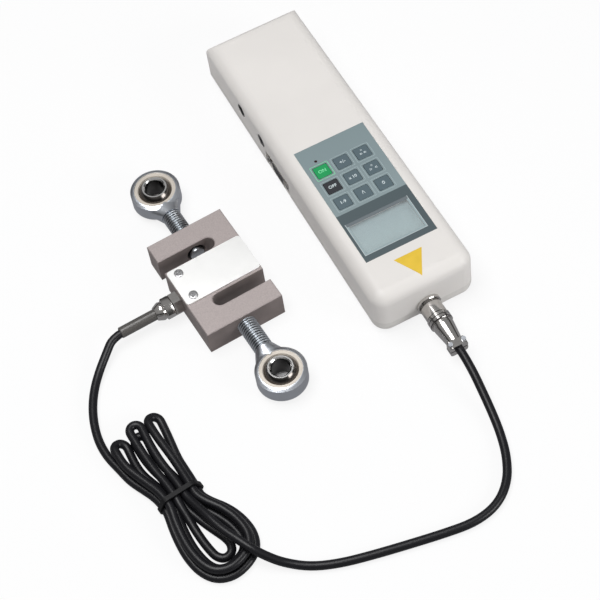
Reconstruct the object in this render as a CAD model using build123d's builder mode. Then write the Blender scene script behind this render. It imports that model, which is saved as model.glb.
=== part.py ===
from build123d import *
import os
from math import cos, pi, radians, sin, sqrt, tan

# Force gauge: a hand-held display unit, a cable with a screw-on plug and an S-shaped load cell
# with a ball-jointed rod end on each side. Millimetres. The origin is the middle of the display
# unit's back face, on the bench; +Y runs to its far end, +X to its right, +Z up.

# ---- Display unit: case -------------------------------------------------------------------
case_length = 230.0
case_near_width = 66.4
case_far_width = 64.4
case_height = 36.0
case_wall = 2.5
case_near_corner = 9.5
case_far_corner = 13.5
case_shoulder = 8.5
case_heel = 7.5
parting_height = 11.0
lip_rise = 1.2
lip_gap = 0.1

post_inset_x = 8.0
post_inset_y = 12.0
post_radius = 4.5
front_post_radius = 3.5
post_root = 0.8
cut_past = 1.0
case_screw_radius = 1.5
case_screw_length = 14.0
case_screw_head_radius = 2.8
case_screw_head = 2.2
case_screw_seat = 5.0
screw_gap = 0.05
screw_clearance = 0.2

# ---- Display unit: overlay, window and keys -----------------------------------------------
overlay_width = 47.5
overlay_length = 93.0
overlay_thickness = 0.3
overlay_setback = 28.9
film_gap = 0.05
window_width = 41.9
window_length = 25.8
window_setback = 4.4
window_rim = 1.0
key_width = 9.4
key_length = 9.0
key_corner = 1.0
key_pitch_x = 13.7
print_shift = -1.0
key_pitch_y = 13.4
key_row_drop = 20.5
key_proud = 0.25
key_gap = 0.2
key_flange = 0.8
key_flange_thickness = 0.9
key_seat_gap = 0.05
key_travel = 0.4
key_overtravel = 0.1
key_rows = (("on", "set", "print"), ("off", "unit", "save"), ("memo", "peak", "zero"))
led_drop = 11.8
led_radius = 1.5
led_tip_radius = 0.9
sticker_width = 18.5
sticker_length = 17.3
sticker_thickness = 0.15
sticker_setback = 6.8

# ---- Display unit: electronics ------------------------------------------------------------
board_thickness = 1.6
board_edge = 4.5
key_board_edge = 2.2
switch_side = 6.0
switch_height = 4.3
switch_body_height = 3.4
switch_plunger_radius = 1.7
key_board_margin = 13.0
key_board_overhang = 5.0
board_post_radius = 3.0
board_post_edge = 0.5
board_screw_radius = 1.25
board_screw_length = 5.0
board_screw_head_radius = 2.4
board_screw_head = 1.6
lcd_glass_width = 46.0
lcd_glass_length = 30.8
lcd_glass_thickness = 2.8
lcd_gap = 0.2
lcd_frame_wall = 2.0
lcd_frame_ledge = 2.5
main_board_far_gap = 27.0
main_post_inset = 3.5
chip_height = 1.6
processor_side = 14.0
amplifier_width = 7.0
amplifier_length = 10.0
chip_x = 7.0
chip_pitch = 20.0
buzzer_radius = 6.0
buzzer_height = 6.5
buzzer_x = -8.0
header_width = 26.0
header_length = 5.0
battery_cell_radius = 5.25
battery_cell_length = 44.5
battery_gap = 0.1
battery_columns = 3
battery_pad = 1.0
battery_set_in = 20.3
battery_board_gap = 1.5
cradle_wall = 1.5
cradle_height = 6.0
insert_bore = 1.65
insert_radius = 2.8
insert_length = 6.0
insert_wall = 1.8
insert_pitch_x = 20.0
insert_pitch_y = 50.0
insert_set_in = 39.0

# ---- Display unit: sockets in the left wall -----------------------------------------------
jack_radius = 4.3
jack_nose = 6.4
jack_body_width = 9.0
jack_body_depth = 12.0
jack_body_height = 7.0
jack_set_in = 0.2
jack_gap = 0.3
jack_pin_set_in = 1.2
power_jack_share = 0.55336
power_jack_bore = 3.1
power_jack_pin = 1.0
signal_jack_set_in = 41.4
signal_jack_bore = 1.8
jack_bore_depth = 9.0
data_port_set_in = 20.7
data_port_height = 11.5
data_recess_gap = 0.6
data_recess_corner = 1.0
data_recess_depth = 6.0
data_pocket_wall = 1.2
data_flange_end = 3.0
data_flange_height = 12.5
data_flange_thickness = 1.0
data_corner = 1.5
data_nose_width = 17.0
data_nose_height = 8.4
data_nose_slant = 10.0
data_nose_wall = 0.5
data_body_height = 10.8
data_body_width = 26.0
data_body_depth = 9.0
data_post_pitch = 25.0
data_post_radius = 2.5
data_post_bore = 1.2
data_pin_radius = 0.55
data_pin_pitch = 2.77
data_row_pitch = 2.84

# ---- Cable plug and its socket, along the plug's axis out of the near wall -----------------
plug_height = 12.5
socket_radius = 6.0
socket_hole_gap = 0.1
socket_flange_radius = 7.75
socket_flange = 2.2
socket_flange_edge = 0.4
socket_nose_end = 8.5
socket_tail = 15.0
socket_wall = 1.1
socket_nut_flats = 14.0
socket_nut_gap = 0.2
socket_nut_reach = 3.0
socket_nut = 2.5
ring_start = 2.8
ring_wall = 0.7
ring_band = 0.5
ring_edge = 0.3
ring_band_start = 11.8
ring_shoulder_seat = 10.6
ring_end = 17.0
running_gap = 0.06
plug_shoulder_gap = 0.25
plug_shoulder = 1.5
plug_body_radius = 5.0
plug_skirt_radius = 6.4
plug_skirt_end = 19.5
plug_tail_radius = 4.7
plug_tail_end = 32.0
plug_tail_seat = 3.0
plug_insert_set_in = 0.2
plug_nose_start = 1.0
plug_nose_gap = 0.15
plug_nose_wall = 0.65
plug_insert_gap = 0.05
clamp_length = 5.0
clamp_width = 11.5
clamp_height = 8.6
clamp_corner = 2.0
clamp_split = 0.8
clamp_screw_x = 4.3
clamp_screw_radius = 0.8
clamp_screw_head_radius = 1.4
clamp_screw_head = 1.0

# ---- Cable ---------------------------------------------------------------------------------
cable_radius = 2.6
cable_gap = 0.05
cable_rest = 2.7
hank_height = 12.2
hank_base = 0.2
hank_edge = 3.0
tie_width = 2.8
tie_thickness = 1.2
tie_gap = 0.1
tie_low_row = 10.6
tie_low_height = 4.0
tie_high_row = 7.95
tie_high_height = 8.6
tie_turn = 6.3
tie_x = -181.2
tie_y = -152.6

# ---- Load cell, in its own axes: +Y along the load, +Z up, centre of its base at the origin --
cell_x = -100.2
cell_y = -33.0
cell_turn = 3.145
block_width = 50.8
block_length = 76.2
block_height = 19.05
block_edge = 0.5
slot_width = 9.1
slot_offset = 15.0
slot_reach = 36.2
pocket_width = 28.0
pocket_length = 18.0
pocket_corner = 4.0
web_thickness = 4.0
cover_width = 50.0
cover_length = 27.5
cover_thickness = 1.0
cover_corner = 2.0
cover_screw_x = -18.7
cover_screw_y = 9.2
cover_screw_radius = 1.5
cover_screw_length = 5.0
cover_screw_head_radius = 2.85
cover_screw_head = 0.9
base_cover_margin = 4.0
base_cover_gap = 0.1
base_cover_set_in = 0.15
gauge_side = 5.0
gauge_thickness = 0.3
gauge_x = 6.5

gland_y = -1.5
gland_spigot_radius = 4.0
gland_spigot = 5.5
gland_flats = 13.0
gland_hex = 5.6
gland_nut_length = 11.5
gland_nut_radius = 6.3
gland_nut_taper = 0.5
gland_nut_wall = 0.65
gland_thread_radius = 4.6
gland_thread = 7.0
sleeve_radius = 3.5
sleeve_length = 23.5
sleeve_edge = 0.4

# ---- Rod ends ---------------------------------------------------------------------------------
eye_upper = 76.5
eye_lower = 79.6
shank_reach = 54.0
shank_radius = 6.0
shank_tip = 1.2
thread_start = 20.0
head_radius = 15.5
head_thickness = 12.0
head_edge = 2.2
head_edge_rise = 1.2
neck_start = 12.0
neck_half_width = 10.6
neck_foot = 0.4
race_radius = 13.0
race_thickness = 10.5
race_mouth = 0.9
seat_gap = 0.02
ball_radius = 11.1125
ball_width = 16.0
ball_bore = 6.0
ball_chamfer = 0.8

os.makedirs("parts", exist_ok=True)
near_face = -case_length / 2


def write(builder, node):
    builder.part.label = node
    export_step(builder.part, f"parts/{node}.step")
    print(node, round(builder.part.volume, 1))


# ================================ Display unit ================================================


def wall_reach(y):
    """Half the case's width at a distance y along it."""
    share = (y - near_face) / case_length
    return (case_near_width + (case_far_width - case_near_width) * share) / 2


def case_form(inset):
    """The case's outer form, or its cavity when it is inset by the wall."""
    far_face = case_length / 2 - inset
    with BuildPart() as form:
        with BuildSketch(Plane.XY.offset(inset)):
            with BuildLine():
                Polyline(
                    (case_near_width / 2 - inset, near_face + inset),
                    (case_far_width / 2 - inset, far_face),
                    (inset - case_far_width / 2, far_face),
                    (inset - case_near_width / 2, near_face + inset),
                    close=True,
                )
            outline = make_face()
            rows = outline.vertices().group_by(Axis.Y)
            fillet(rows[0], case_near_corner - inset)
            fillet(rows[-1], case_far_corner - inset)
        extrude(amount=case_height - 2 * inset)
        fillet(form.edges().group_by(Axis.Z)[-1], case_shoulder - inset)
        fillet(form.edges().group_by(Axis.Z)[0], case_heel - inset)
    return form.part


def rim(inset, rise):
    """The rim that stands this high on the parting plane, from an inset to the cavity."""
    with BuildPart() as piece:
        add(case_form(inset))
        add(case_inside, mode=Mode.SUBTRACT)
        split(bisect_by=Plane.XY.offset(parting_height), keep=Keep.TOP)
        split(bisect_by=Plane.XY.offset(parting_height + rise), keep=Keep.BOTTOM)
    return piece.part


case_outside = case_form(0)
case_inside = case_form(case_wall)

overlay_y = near_face + overlay_setback + overlay_length / 2
overlay_far = overlay_y + overlay_length / 2
overlay_near = overlay_y - overlay_length / 2
overlay_floor = case_height - overlay_thickness
window_y = overlay_near + window_setback + window_length / 2
top_inside = case_height - case_wall
key_flange_top = top_inside - key_seat_gap
key_bottom = key_flange_top - key_flange_thickness
key_board_top = key_bottom - key_travel - key_overtravel - switch_height
led_x = print_shift - key_pitch_x
led_y = overlay_far - led_drop
key_places = {
    name: (print_shift + key_pitch_x * (column - 1), overlay_far - key_row_drop - key_pitch_y * row)
    for row, names in enumerate(key_rows)
    for column, name in enumerate(names)
}
key_openings = [Location((x, y)) for x, y in key_places.values()]

post_places = [
    (side * (case_far_width / 2 - post_inset_x), end * (case_length / 2 - post_inset_y))
    for side in (-1, 1)
    for end in (-1, 1)
]
key_board_near = overlay_near - key_board_margin
key_board_far = overlay_far + key_board_overhang
key_board_y = (key_board_near + key_board_far) / 2
key_board_width = case_far_width - 2 * (case_wall + key_board_edge)
board_post_x = key_board_width / 2 - board_post_radius - board_post_edge
board_post_spread = key_board_far - key_board_near - 2 * (board_post_radius + board_post_edge)
board_posts = [
    (side * board_post_x, key_board_y + end * board_post_spread / 2)
    for side in (-1, 1)
    for end in (-1, 1)
]

main_board_bottom = data_port_height + data_body_height / 2
main_board_top = main_board_bottom + board_thickness
battery_width = battery_columns * (2 * battery_cell_radius + battery_gap) + battery_gap
battery_length = 2 * battery_cell_length + 2 * battery_gap
battery_y = near_face + battery_set_in + battery_length / 2
main_board_near = battery_y + battery_length / 2 + battery_board_gap
main_board_far = case_length / 2 - main_board_far_gap
main_board_length = main_board_far - main_board_near
main_board_y = (main_board_near + main_board_far) / 2
main_board_width = case_far_width - 2 * (case_wall + board_edge)
main_post_spread = main_board_length - 2 * main_post_inset
main_posts = [
    (side * (main_board_width / 2 - main_post_inset), main_board_y + end * main_post_spread / 2)
    for side in (-1, 1)
    for end in (-1, 1)
]
jack_height = main_board_top + jack_body_height / 2
sticker_side = sqrt(sticker_length**2 + sticker_width**2 / 4)
insert_places = [
    (side * insert_pitch_x / 2, main_board_near + insert_set_in + end * insert_pitch_y / 2)
    for side in (-1, 1)
    for end in (-1, 1)
]


def left_wall(y, height):
    """A plane on the left wall's outside that looks out of it, with its x along +Y."""
    return Plane(origin=(-wall_reach(y), y, height), x_dir=(0, -1, 0), z_dir=(-1, 0, 0))


def out_of_near_wall(distance):
    """A plane square to the plug's axis, this far out of the near wall."""
    return Plane(origin=(0, near_face - distance, plug_height), x_dir=(1, 0, 0), z_dir=(0, -1, 0))


data_flange_width = data_post_pitch + 2 * data_flange_end
data_recess_width = data_flange_width + 2 * data_recess_gap
data_recess_height = data_flange_height + 2 * data_recess_gap
data_wall = left_wall(main_board_near + data_port_set_in, data_port_height)
signal_jack_y = main_board_near + signal_jack_set_in
signal_wall = left_wall(signal_jack_y, jack_height)
power_jack_y = signal_jack_y + power_jack_share * (main_board_far - signal_jack_y)
power_wall = left_wall(power_jack_y, jack_height)


with BuildPart() as wall_openings:
    with BuildSketch(data_wall):
        RectangleRounded(data_recess_width, data_recess_height, data_recess_corner)
    extrude(amount=-data_recess_depth)
    with BuildSketch(power_wall, signal_wall):
        Circle(jack_radius + jack_gap)
    extrude(amount=-2 * case_wall)
    with BuildSketch(out_of_near_wall(0)):
        Circle(socket_radius)
    extrude(amount=-2 * case_wall)
    with BuildSketch(out_of_near_wall(-case_wall)):
        Circle(socket_nut_flats / sqrt(3) + socket_nut_gap)
    extrude(amount=-socket_nut_reach)

with BuildPart() as data_pocket:
    with BuildSketch(data_wall.offset(-case_wall / 2)):
        RectangleRounded(
            data_recess_width + 2 * data_pocket_wall,
            data_recess_height + 2 * data_pocket_wall,
            data_recess_corner + data_pocket_wall,
        )
    extrude(amount=case_wall / 2 - data_recess_depth)

with BuildPart() as front_shell:
    add(case_outside)
    add(case_inside, mode=Mode.SUBTRACT)
    add(data_pocket.part)
    with BuildSketch(Plane.XY.offset(parting_height)):
        with Locations(*post_places):
            Circle(front_post_radius)
    extrude(amount=top_inside + post_root - parting_height)
    with BuildSketch(Plane.XY.offset(key_board_top)):
        with Locations(*board_posts):
            Circle(board_post_radius)
    extrude(amount=top_inside + post_root - key_board_top)
    add(wall_openings.part, mode=Mode.SUBTRACT)
    split(bisect_by=Plane.XY.offset(parting_height), keep=Keep.TOP)
    add(rim(case_wall / 2 - lip_gap, lip_rise + lip_gap), mode=Mode.SUBTRACT)
    with BuildSketch(Plane.XY.offset(overlay_floor)):
        with Locations((0, overlay_y)):
            Rectangle(overlay_width + 2 * film_gap, overlay_length + 2 * film_gap)
    extrude(amount=case_wall, mode=Mode.SUBTRACT)
    with BuildSketch(Plane.XY.offset(top_inside - cut_past)):
        with Locations(*key_openings):
            RectangleRounded(key_width + 2 * key_gap, key_length + 2 * key_gap, key_corner)
        with Locations((print_shift, window_y)):
            Rectangle(window_width - 2 * window_rim, window_length - 2 * window_rim)
        with Locations((led_x, led_y)):
            Circle(led_radius + key_gap)
    extrude(amount=case_wall + cut_past, mode=Mode.SUBTRACT)
    with BuildSketch(Plane.XY.offset(parting_height)):
        with Locations(*post_places):
            Circle(case_screw_radius + screw_gap)
    extrude(amount=case_screw_length, mode=Mode.SUBTRACT)
    with BuildSketch(Plane.XY.offset(key_board_top)):
        with Locations(*board_posts):
            Circle(board_screw_radius + screw_gap)
    extrude(amount=board_screw_length, mode=Mode.SUBTRACT)
write(front_shell, "front_shell")


with BuildPart() as rear_shell:
    add(case_outside)
    add(case_inside, mode=Mode.SUBTRACT)
    add(data_pocket.part)
    split(bisect_by=Plane.XY.offset(parting_height), keep=Keep.BOTTOM)
    add(rim(case_wall / 2, lip_rise))
    with BuildSketch(Plane.XY.offset(case_wall / 2)):
        with Locations(*post_places):
            Circle(post_radius)
    extrude(amount=parting_height - case_wall / 2)
    with BuildSketch(Plane.XY.offset(case_wall / 2)):
        with Locations(*main_posts):
            Circle(board_post_radius)
    extrude(amount=main_board_bottom - case_wall / 2)
    with BuildSketch(Plane.XY.offset(case_wall / 2)):
        with Locations(*insert_places):
            Circle(insert_radius + insert_wall)
    extrude(amount=insert_length + insert_wall - case_wall / 2)
    with BuildSketch(Plane.XY.offset(case_wall / 2)):
        with Locations((0, battery_y)):
            Rectangle(battery_width + 2 * cradle_wall, battery_length + 2 * cradle_wall)
            Rectangle(battery_width, battery_length, mode=Mode.SUBTRACT)
    extrude(amount=case_wall / 2 + cradle_height)
    add(wall_openings.part, mode=Mode.SUBTRACT)
    with Locations(*[Location((x, y, 0), (180, 0, 0)) for x, y in post_places]):
        CounterBoreHole(
            case_screw_radius + screw_clearance,
            case_screw_head_radius + screw_clearance,
            case_screw_seat,
            parting_height,
        )
    with BuildSketch():
        with Locations(*insert_places):
            Circle(insert_radius)
    extrude(amount=insert_length, mode=Mode.SUBTRACT)
    with BuildSketch(Plane.XY.offset(main_board_bottom)):
        with Locations(*main_posts):
            Circle(board_screw_radius + screw_gap)
    extrude(amount=-board_screw_length, mode=Mode.SUBTRACT)
write(rear_shell, "rear_shell")


def screws(places, radius, length, head_radius, head, seat):
    """Pan-head screws on one level: the shanks run down from the seat's plane, heads above."""
    with BuildPart() as group:
        with BuildSketch(seat):
            with Locations(*places):
                Circle(radius)
        extrude(amount=-length)
        with BuildSketch(seat):
            with Locations(*places):
                Circle(head_radius)
        extrude(amount=head)
    return group


case_screw_plane = Plane.XY.offset(case_screw_seat).rotated((180, 0, 0))
case_screws = screws(
    [(x, -y) for x, y in post_places],
    case_screw_radius,
    case_screw_length,
    case_screw_head_radius,
    case_screw_head,
    case_screw_plane,
)
write(case_screws, "case_screws")

with BuildPart() as mounting_inserts:
    with BuildSketch():
        with Locations(*insert_places):
            Circle(insert_radius - screw_gap)
            Circle(insert_bore, mode=Mode.SUBTRACT)
    extrude(amount=insert_length - screw_gap)
write(mounting_inserts, "mounting_inserts")

# ---- Keypad ---------------------------------------------------------------------------------

with BuildPart() as keypad_overlay:
    with BuildSketch(Plane.XY.offset(overlay_floor)):
        with Locations((0, overlay_y)):
            Rectangle(overlay_width, overlay_length)
        with Locations(*key_openings):
            RectangleRounded(
                key_width + 2 * key_gap,
                key_length + 2 * key_gap,
                key_corner,
                mode=Mode.SUBTRACT,
            )
        with Locations((print_shift, window_y)):
            Rectangle(window_width + 2 * film_gap, window_length + 2 * film_gap, mode=Mode.SUBTRACT)
        with Locations((led_x, led_y)):
            Circle(led_tip_radius + film_gap, mode=Mode.SUBTRACT)
    extrude(amount=overlay_thickness)
write(keypad_overlay, "keypad_overlay")

for key_name, place in key_places.items():
    with BuildPart() as key:
        with BuildSketch(Plane.XY.offset(key_bottom)):
            with Locations(place):
                RectangleRounded(key_width + 2 * key_flange, key_length + 2 * key_flange, key_corner)
        extrude(amount=key_flange_thickness)
        with BuildSketch(Plane.XY.offset(key_flange_top)):
            with Locations(place):
                RectangleRounded(key_width, key_length, key_corner)
        extrude(amount=case_height + key_proud - key_flange_top)
        chamfer(key.edges().group_by(Axis.Z)[-1], key_proud)
    write(key, f"key_{key_name}")

with BuildPart() as lcd_window:
    with BuildSketch(Plane.XY.offset(overlay_floor)):
        with Locations((print_shift, window_y)):
            Rectangle(window_width, window_length)
    extrude(amount=overlay_thickness)
write(lcd_window, "lcd_window")

with BuildPart() as status_led:
    with BuildSketch(Plane.XY.offset(key_board_top)):
        with Locations((led_x, led_y)):
            Circle(led_radius)
    extrude(amount=overlay_floor - film_gap - key_board_top)
    with BuildSketch(Plane.XY.offset(overlay_floor - film_gap)):
        with Locations((led_x, led_y)):
            Circle(led_tip_radius)
    extrude(amount=overlay_thickness + film_gap)
write(status_led, "status_led")

with BuildPart() as triangle_sticker:
    with BuildSketch(Plane.XY.offset(case_height - case_shoulder)):
        with Locations((0, overlay_near - sticker_setback - sticker_length / 2)):
            Triangle(a=sticker_width, b=sticker_side, c=sticker_side, rotation=180, align=Align.CENTER)
    extrude(amount=case_shoulder + cut_past)
    add(case_form(-sticker_thickness), mode=Mode.INTERSECT)
    add(case_outside, mode=Mode.SUBTRACT)
write(triangle_sticker, "triangle_sticker")

# ---- Boards, display and battery --------------------------------------------------------------

lcd_top = top_inside - lcd_gap
with BuildPart() as lcd_frame:
    with BuildSketch(Plane.XY.offset(key_board_top)):
        with Locations((print_shift, window_y)):
            Rectangle(
                lcd_glass_width + 2 * (lcd_gap + lcd_frame_wall),
                lcd_glass_length + 2 * (lcd_gap + lcd_frame_wall),
            )
    extrude(amount=lcd_top - key_board_top)
    with BuildSketch(Plane.XY.offset(lcd_top)):
        with Locations((print_shift, window_y)):
            Rectangle(lcd_glass_width + 2 * lcd_gap, lcd_glass_length + 2 * lcd_gap)
    extrude(amount=-lcd_glass_thickness, mode=Mode.SUBTRACT)
    with BuildSketch(Plane.XY.offset(key_board_top)):
        with Locations((print_shift, window_y)):
            Rectangle(
                lcd_glass_width - 2 * lcd_frame_ledge,
                lcd_glass_length - 2 * lcd_frame_ledge,
            )
    extrude(amount=lcd_top - key_board_top, mode=Mode.SUBTRACT)
write(lcd_frame, "lcd_frame")

with BuildPart() as lcd_glass:
    with BuildSketch(Plane.XY.offset(lcd_top)):
        with Locations((print_shift, window_y)):
            Rectangle(lcd_glass_width, lcd_glass_length)
    extrude(amount=-lcd_glass_thickness)
write(lcd_glass, "lcd_glass")

with BuildPart() as keypad_board:
    with BuildSketch(Plane.XY.offset(key_board_top)):
        with Locations((0, key_board_y)):
            Rectangle(key_board_width, key_board_far - key_board_near)
        with Locations(*board_posts):
            Circle(board_screw_radius + screw_clearance, mode=Mode.SUBTRACT)
    extrude(amount=-board_thickness)
write(keypad_board, "keypad_board")

with BuildPart() as tact_switches:
    with BuildSketch(Plane.XY.offset(key_board_top)):
        with Locations(*key_openings):
            Rectangle(switch_side, switch_side)
    extrude(amount=switch_body_height)
    with BuildSketch(Plane.XY.offset(key_board_top)):
        with Locations(*key_openings):
            Circle(switch_plunger_radius)
    extrude(amount=switch_height)
write(tact_switches, "tact_switches")

key_board_screw_plane = Plane.XY.offset(key_board_top - board_thickness).rotated((180, 0, 0))
keypad_screws = screws(
    [(x, -y) for x, y in board_posts],
    board_screw_radius,
    board_thickness + board_screw_length,
    board_screw_head_radius,
    board_screw_head,
    key_board_screw_plane,
)
write(keypad_screws, "keypad_board_screws")

with BuildPart() as main_board:
    with BuildSketch(Plane.XY.offset(main_board_bottom)):
        with Locations((0, main_board_y)):
            Rectangle(main_board_width, main_board_length)
        with Locations(*main_posts):
            Circle(board_screw_radius + screw_clearance, mode=Mode.SUBTRACT)
    extrude(amount=board_thickness)
write(main_board, "main_board")

main_screws = screws(
    main_posts,
    board_screw_radius,
    board_thickness + board_screw_length,
    board_screw_head_radius,
    board_screw_head,
    Plane.XY.offset(main_board_top),
)
write(main_screws, "main_board_screws")

with BuildPart() as board_chips:
    with BuildSketch(Plane.XY.offset(main_board_top)):
        with Locations((chip_x, main_board_y)):
            Rectangle(processor_side, processor_side)
            with Locations((0, -chip_pitch), (0, chip_pitch)):
                Rectangle(amplifier_width, amplifier_length)
    extrude(amount=chip_height)
write(board_chips, "board_chips")

with BuildPart() as board_header:
    with BuildSketch(Plane.XY.offset(main_board_top)):
        with Locations((0, main_board_near + header_length)):
            Rectangle(header_width, header_length)
    extrude(amount=key_board_top - board_thickness - main_board_top)
write(board_header, "board_header")

with BuildPart() as buzzer:
    with BuildSketch(Plane.XY.offset(main_board_top)):
        with Locations((buzzer_x, (signal_jack_y + power_jack_y) / 2)):
            Circle(buzzer_radius)
    extrude(amount=buzzer_height)
write(buzzer, "buzzer")

with BuildPart() as battery_cells:
    with BuildSketch(Plane.XZ.offset(-battery_y + battery_length / 2)):
        with Locations((0, case_wall + battery_pad + battery_gap + battery_cell_radius)):
            with GridLocations(2 * battery_cell_radius + battery_gap, 0, battery_columns, 1):
                Circle(battery_cell_radius)
    extrude(amount=-battery_cell_length)
    mirror(about=Plane.XZ.offset(-battery_y))
write(battery_cells, "battery_cells")

with BuildPart() as battery_foam:
    with BuildSketch(Plane.XY.offset(case_wall)):
        with Locations((0, battery_y)):
            Rectangle(battery_width - 2 * battery_gap, battery_length - 2 * battery_gap)
    extrude(amount=battery_pad)
write(battery_foam, "battery_foam")

# ---- Sockets in the left wall -----------------------------------------------------------------


def jack(wall, bore, pin):
    """A board-mounted jack whose round nose looks out through the wall."""
    with BuildPart() as piece:
        with BuildSketch(wall.offset(-jack_nose)):
            Rectangle(jack_body_width, jack_body_height)
        extrude(amount=-jack_body_depth)
        with BuildSketch(wall.offset(-jack_set_in)):
            Circle(jack_radius)
        extrude(amount=jack_set_in - jack_nose)
        with BuildSketch(wall):
            Circle(bore)
        extrude(amount=-jack_bore_depth, mode=Mode.SUBTRACT)
        if pin:
            with BuildSketch(wall.offset(-jack_pin_set_in)):
                Circle(pin)
            extrude(amount=-jack_bore_depth)
    return piece


write(jack(power_wall, power_jack_bore, power_jack_pin), "power_jack")
write(jack(signal_wall, signal_jack_bore, 0), "signal_jack")

data_flange_back = -data_recess_depth
data_flange_face = data_flange_back + data_flange_thickness
data_nose = data_recess_depth - data_flange_thickness - jack_set_in
data_nose_angle = 90 - data_nose_slant
with BuildPart() as data_connector_shell:
    with BuildSketch(data_wall.offset(data_flange_back)):
        RectangleRounded(data_flange_width, data_flange_height, data_corner)
        with GridLocations(data_post_pitch, 0, 2, 1):
            Circle(data_post_bore, mode=Mode.SUBTRACT)
    extrude(amount=data_flange_thickness)
    with BuildSketch(data_wall.offset(data_flange_face)) as nose_outline:
        Trapezoid(data_nose_width, data_nose_height, data_nose_angle, rotation=180)
        fillet(nose_outline.vertices(), data_corner)
    extrude(amount=data_nose)
    with BuildSketch(data_wall.offset(data_flange_back)) as nose_inside:
        Trapezoid(data_nose_width, data_nose_height, data_nose_angle, rotation=180)
        fillet(nose_inside.vertices(), data_corner)
        offset(amount=-data_nose_wall)
    extrude(amount=data_nose + data_flange_thickness, mode=Mode.SUBTRACT)
write(data_connector_shell, "data_connector_shell")

with BuildPart() as data_connector_body:
    with BuildSketch(data_wall.offset(data_flange_back)):
        Rectangle(data_body_width, data_body_height)
    extrude(amount=-data_body_depth)
    with BuildSketch(data_wall.offset(data_flange_back)) as insert_outline:
        Trapezoid(data_nose_width, data_nose_height, data_nose_angle, rotation=180)
        fillet(insert_outline.vertices(), data_corner)
        offset(amount=-data_nose_wall - screw_gap)
    extrude(amount=data_nose + data_flange_thickness - jack_set_in)
    with BuildSketch(data_wall):
        for row, contacts in ((0.5, 5), (-0.5, 4)):
            with Locations((0, row * data_row_pitch)):
                with GridLocations(data_pin_pitch, 0, contacts, 1):
                    Circle(data_pin_radius)
    extrude(amount=-data_recess_depth, mode=Mode.SUBTRACT)
write(data_connector_body, "data_connector_body")

with BuildPart() as data_connector_posts:
    with BuildSketch(data_wall.offset(data_flange_face)):
        with GridLocations(data_post_pitch, 0, 2, 1):
            RegularPolygon(data_post_radius, 6, major_radius=False)
            Circle(data_post_bore, mode=Mode.SUBTRACT)
    extrude(amount=data_nose)
write(data_connector_posts, "data_connector_posts")

# ================================ Panel socket and cable plug ==================================

plug_side = Plane(origin=(0, near_face, plug_height), x_dir=(0, -1, 0), z_dir=(-1, 0, 0))


def turned(plane, *profile):
    """A turned piece: a closed (distance, radius) profile about the plane's x axis."""
    with BuildPart() as piece:
        with BuildSketch(plane):
            with BuildLine():
                Polyline(*profile, close=True)
            make_face()
        revolve(axis=Axis(plane.origin, plane.x_dir))
    return piece


tail_radius = socket_radius - socket_hole_gap
socket_bore = socket_radius - socket_wall
write(
    turned(
        plug_side,
        (-socket_tail, socket_bore),
        (-socket_tail, tail_radius),
        (0, tail_radius),
        (0, socket_flange_radius),
        (socket_flange - socket_flange_edge, socket_flange_radius),
        (socket_flange, socket_flange_radius - socket_flange_edge),
        (socket_flange, socket_radius),
        (socket_nose_end, socket_radius),
        (socket_nose_end, socket_bore),
    ),
    "panel_socket",
)

write(
    turned(
        plug_side,
        (-socket_tail, 0),
        (-socket_tail, socket_bore - screw_gap),
        (plug_nose_start - socket_hole_gap, socket_bore - screw_gap),
        (plug_nose_start - socket_hole_gap, 0),
    ),
    "panel_socket_insert",
)

with BuildPart() as panel_nut:
    with BuildSketch(out_of_near_wall(-case_wall)):
        RegularPolygon(socket_nut_flats / 2, 6, major_radius=False)
        Circle(tail_radius + screw_gap, mode=Mode.SUBTRACT)
    extrude(amount=-socket_nut)
write(panel_nut, "panel_nut")

ring_lip_radius = plug_body_radius + running_gap
ring_thread_radius = socket_radius + running_gap
ring_radius = ring_thread_radius + ring_wall
ring_band_radius = ring_radius + ring_band
write(
    turned(
        plug_side,
        (ring_start, ring_thread_radius),
        (ring_start, ring_radius - ring_edge),
        (ring_start + ring_edge, ring_radius),
        (ring_band_start, ring_radius),
        (ring_band_start + ring_edge, ring_band_radius),
        (ring_end - ring_edge, ring_band_radius),
        (ring_end, ring_band_radius - ring_edge),
        (ring_end, ring_lip_radius),
        (ring_shoulder_seat, ring_lip_radius),
        (ring_shoulder_seat, ring_thread_radius),
    ),
    "coupling_ring",
)

shoulder_end = ring_shoulder_seat - running_gap
skirt_start = ring_end + running_gap
cable_bore = cable_radius + cable_gap
plug_nose_radius = socket_bore - plug_nose_gap
plug_shoulder_radius = ring_thread_radius - plug_shoulder_gap
plug_body = turned(
    plug_side,
    (plug_nose_start, plug_nose_radius - plug_nose_wall),
    (plug_nose_start, plug_nose_radius),
    (shoulder_end - plug_shoulder, plug_nose_radius),
    (shoulder_end - plug_shoulder, plug_shoulder_radius),
    (shoulder_end, plug_shoulder_radius),
    (shoulder_end, plug_body_radius),
    (skirt_start, plug_body_radius),
    (skirt_start, plug_skirt_radius),
    (plug_skirt_end, plug_skirt_radius),
    (plug_tail_end, plug_tail_radius),
    (plug_tail_end, cable_bore),
    (plug_tail_end - plug_tail_seat, cable_bore),
    (plug_skirt_end, plug_nose_radius - plug_nose_wall),
)


def clamp_half(side):
    """One half of the cable clamp: +1 lies above the cable and -1 below it."""
    with BuildPart() as half:
        with BuildSketch(out_of_near_wall(plug_tail_end)):
            RectangleRounded(clamp_width, clamp_height, clamp_corner)
            Circle(cable_bore, mode=Mode.SUBTRACT)
            Rectangle(clamp_width, clamp_split, mode=Mode.SUBTRACT)
            with Locations((0, -side * clamp_height / 2)):
                Rectangle(clamp_width, clamp_height, mode=Mode.SUBTRACT)
        extrude(amount=clamp_length)
        with BuildSketch(Plane.XY.offset(plug_height + clamp_height / 2)):
            with Locations(*clamp_screw_places):
                Circle(clamp_screw_radius + screw_gap)
        extrude(amount=-clamp_height, mode=Mode.SUBTRACT)
    return half


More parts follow.
